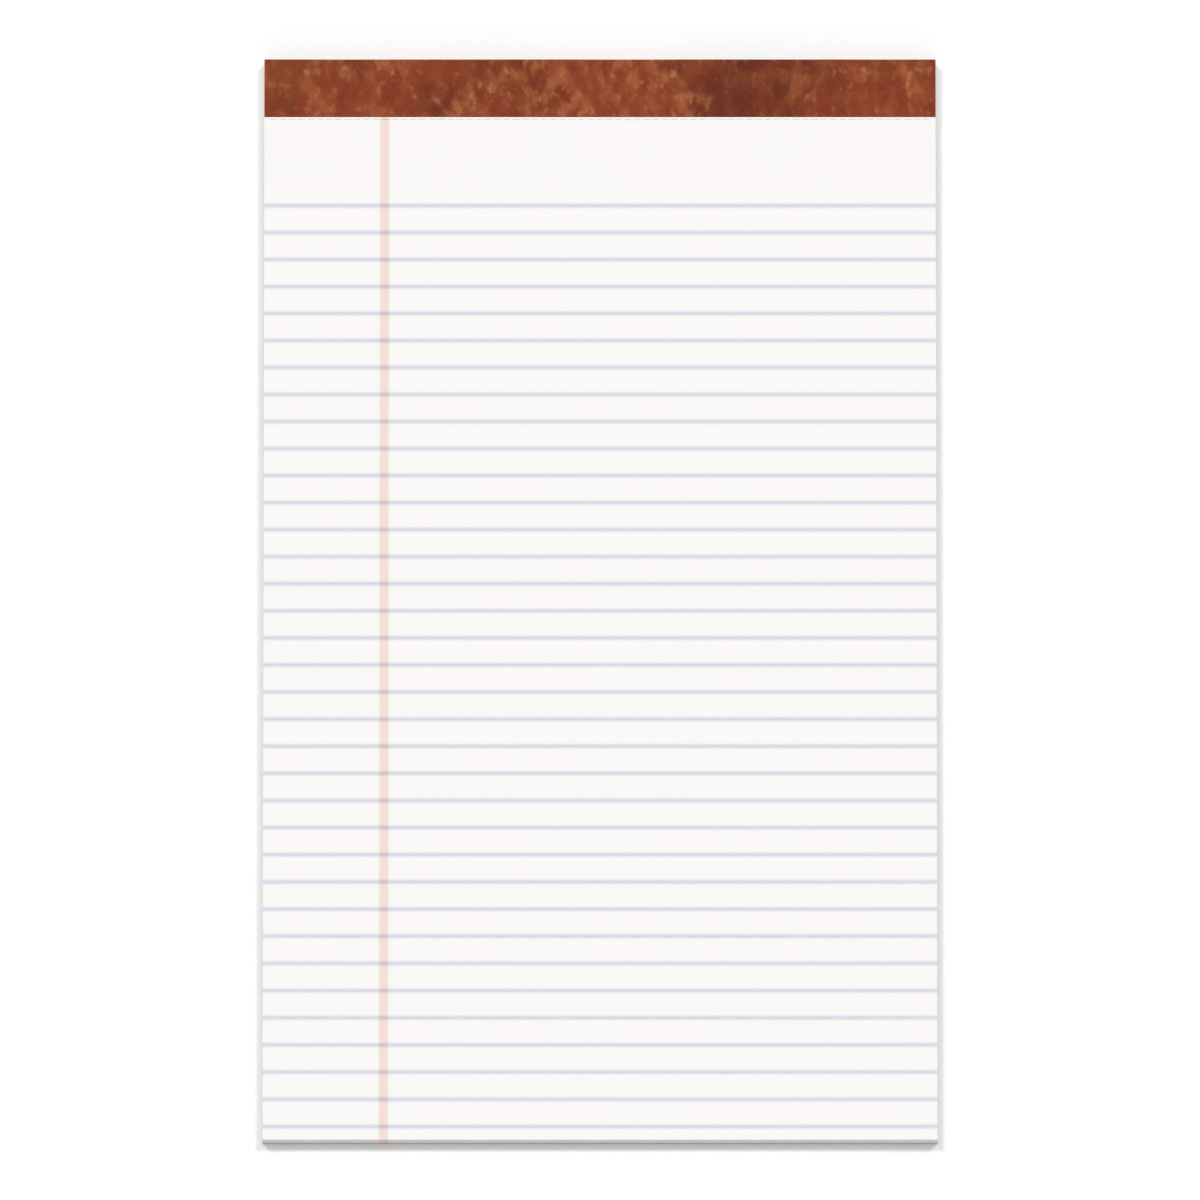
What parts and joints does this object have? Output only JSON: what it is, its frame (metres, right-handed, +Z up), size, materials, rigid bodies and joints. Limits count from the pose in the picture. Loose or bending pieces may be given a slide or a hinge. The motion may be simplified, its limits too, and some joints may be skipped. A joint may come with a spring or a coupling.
{
  "type": "legal pad",
  "caption": "Legal-size pad of ruled, perforated tear-off sheets, stitched and bound at the head by a folded leatherette strip, on a stiff chipboard back.",
  "frame": {"origin": "on the surface that the pad lies on, under the middle of its box", "axes": "+X to the reader's right across the page, +Y up the page to the bound head, +Z up out of the front sheet"},
  "size_m": [0.216, 0.3556, 0.0065],
  "materials": {
    "sheets": "uncoated white writing paper with pale blue rules and a pink margin line",
    "board": "grey-brown chipboard, unprinted",
    "strip": "brown mottled leatherette paper with a fine grain, satin",
    "wire": "galvanised flat stitching wire"
  },
  "bodies": {
    "root": {"sheet_block": "sheets", "backing_board": "board", "binding_strip": "strip", "wire_stitches": "wire"}
  },
  "joints": []
}
